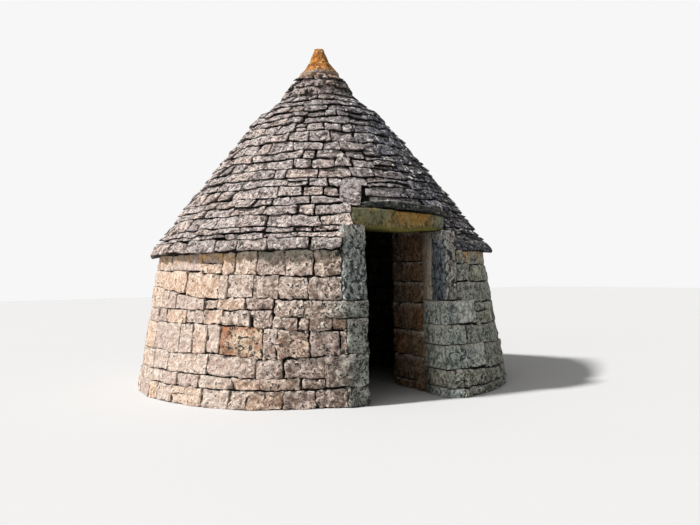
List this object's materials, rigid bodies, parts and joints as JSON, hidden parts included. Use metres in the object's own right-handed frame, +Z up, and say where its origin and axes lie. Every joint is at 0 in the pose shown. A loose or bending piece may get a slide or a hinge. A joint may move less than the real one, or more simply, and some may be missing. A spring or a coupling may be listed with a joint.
{
  "type": "trullo house",
  "caption": "Round dry-stone hut with a leaning wall, a square-headed doorway, a corbelled room and a conical roof of stepped slab courses ending in a pinnacle.",
  "frame": {"origin": "centre of the round room's plan at ground level", "axes": "+Z up, the doorway faces -Y, +X to the right of someone who looks at the doorway from outside"},
  "size_m": [4.58, 4.5066, 4.22],
  "materials": {
    "wall_stone": "pitted cream and pink limestone blocks, laid dry",
    "jamb_stone": "grey lichen-covered limestone",
    "passage_stone": "sheltered brown limestone",
    "lintel_stone": "dressed limestone with rust and lichen stains",
    "roof_slab": "weathered grey limestone slabs",
    "dome_stone": "rough corbelled limestone",
    "neck_mortar": "rough stone bedded in lime mortar",
    "pinnacle_stone": "limestone under orange lichen"
  },
  "bodies": {
    "root": {"front_left_wall": "wall_stone", "left_wall": "wall_stone", "rear_left_wall": "wall_stone", "rear_wall": "wall_stone", "rear_right_wall": "wall_stone", "right_wall": "wall_stone", "front_right_wall": "wall_stone", "left_lower_jamb": "jamb_stone", "left_upright": "jamb_stone", "left_reveal": "passage_stone", "right_lower_jamb": "jamb_stone", "right_upright": "jamb_stone", "right_reveal": "passage_stone", "lintel": "lintel_stone", "middle_lintel": "passage_stone", "inner_lintel": "passage_stone", "hood_slab": "roof_slab", "corbel_ring_1": "dome_stone", "corbel_ring_2": "dome_stone", "corbel_ring_3": "dome_stone", "corbel_ring_4": "dome_stone", "corbel_ring_5": "dome_stone", "corbel_ring_6": "dome_stone", "corbel_ring_7": "dome_stone", "capstone": "dome_stone", "eave_course": "roof_slab", "roof_slabs_1": "roof_slab", "roof_slabs_2": "roof_slab", "roof_slabs_3": "roof_slab", "roof_slabs_4": "roof_slab", "roof_slabs_5": "roof_slab", "roof_slabs_6": "roof_slab", "roof_slabs_7": "roof_slab", "roof_slabs_8": "roof_slab", "roof_slabs_9": "roof_slab", "neck": "neck_mortar", "pinnacle": "pinnacle_stone"}
  },
  "joints": []
}
